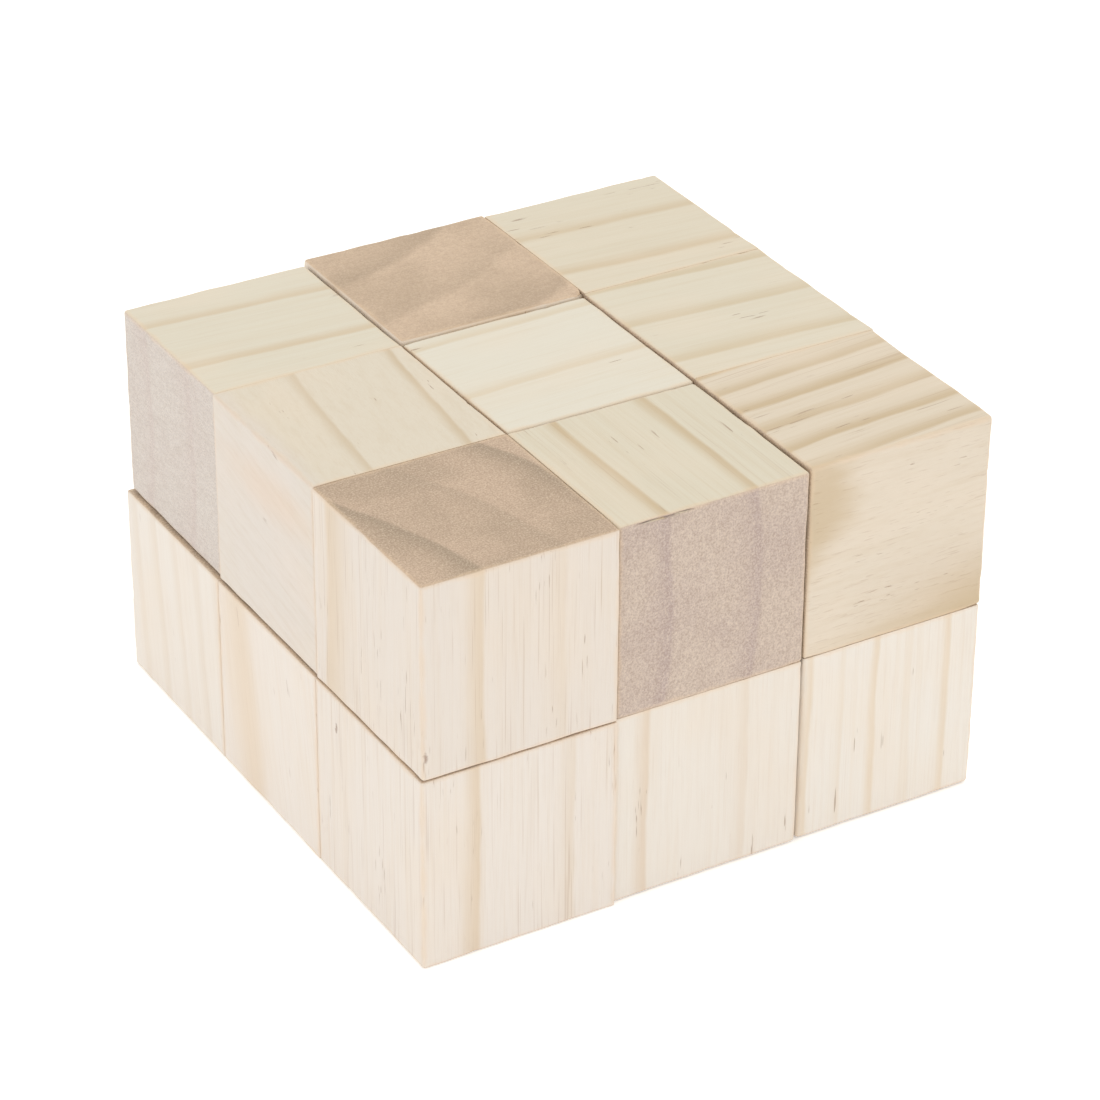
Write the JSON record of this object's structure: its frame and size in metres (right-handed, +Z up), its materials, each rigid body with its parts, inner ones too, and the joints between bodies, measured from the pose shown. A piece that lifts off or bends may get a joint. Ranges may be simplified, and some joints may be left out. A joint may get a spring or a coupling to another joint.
{
  "type": "wooden block assembly puzzle",
  "caption": "Flat square block puzzle of plain softwood cubes, glued into L-shaped pieces and an upright centre bar that stack together and lift or slide apart.",
  "frame": {"origin": "under the middle of the assembled block, on the surface that it stands on", "axes": "+Z up; the front is -Y and the left is -X, both along cube faces"},
  "size_m": [0.0754, 0.0754, 0.05],
  "materials": {
    "pine_grain_upright": "sanded bare pine, no varnish, end grain on top and underneath",
    "pine_grain_left_to_right": "sanded bare pine, no varnish, end grain on the left and right faces",
    "pine_grain_front_to_back": "sanded bare pine, no varnish, end grain on the front and back faces"
  },
  "bodies": {
    "lower_left_piece": {"lower_front_left_cube": "pine_grain_upright", "lower_front_middle_cube": "pine_grain_upright", "lower_left_middle_cube": "pine_grain_upright", "lower_back_left_cube": "pine_grain_upright"},
    "lower_right_piece": {"lower_front_right_cube": "pine_grain_upright", "lower_right_middle_cube": "pine_grain_upright", "lower_back_right_cube": "pine_grain_upright", "lower_back_middle_cube": "pine_grain_upright"},
    "upper_left_piece": {"upper_front_left_cube": "pine_grain_upright", "upper_front_middle_cube": "pine_grain_front_to_back", "upper_left_middle_cube": "pine_grain_front_to_back", "upper_back_left_cube": "pine_grain_left_to_right"},
    "upper_right_piece": {"upper_front_right_cube": "pine_grain_left_to_right", "upper_right_middle_cube": "pine_grain_left_to_right", "upper_back_right_cube": "pine_grain_left_to_right", "upper_back_middle_cube": "pine_grain_upright"},
    "centre_bar_piece": {"lower_centre_cube": "pine_grain_upright", "upper_centre_cube": "pine_grain_left_to_right"}
  },
  "joints": [
    {"name": "lower_right_slide", "type": "slide", "parent": "lower_left_piece", "child": "lower_right_piece", "axis": [1, 0, 0], "range_m": [0, 0.04]},
    {"name": "upper_right_lift", "type": "slide", "parent": "lower_right_piece", "child": "upper_right_piece", "axis": [0, 0, 1], "range_m": [0, 0.04]},
    {"name": "upper_left_lift", "type": "slide", "parent": "lower_left_piece", "child": "upper_left_piece", "axis": [0, 0, 1], "range_m": [0, 0.04]},
    {"name": "centre_bar_lift", "type": "slide", "parent": "lower_left_piece", "child": "centre_bar_piece", "axis": [0, 0, 1], "range_m": [0, 0.06]}
  ]
}
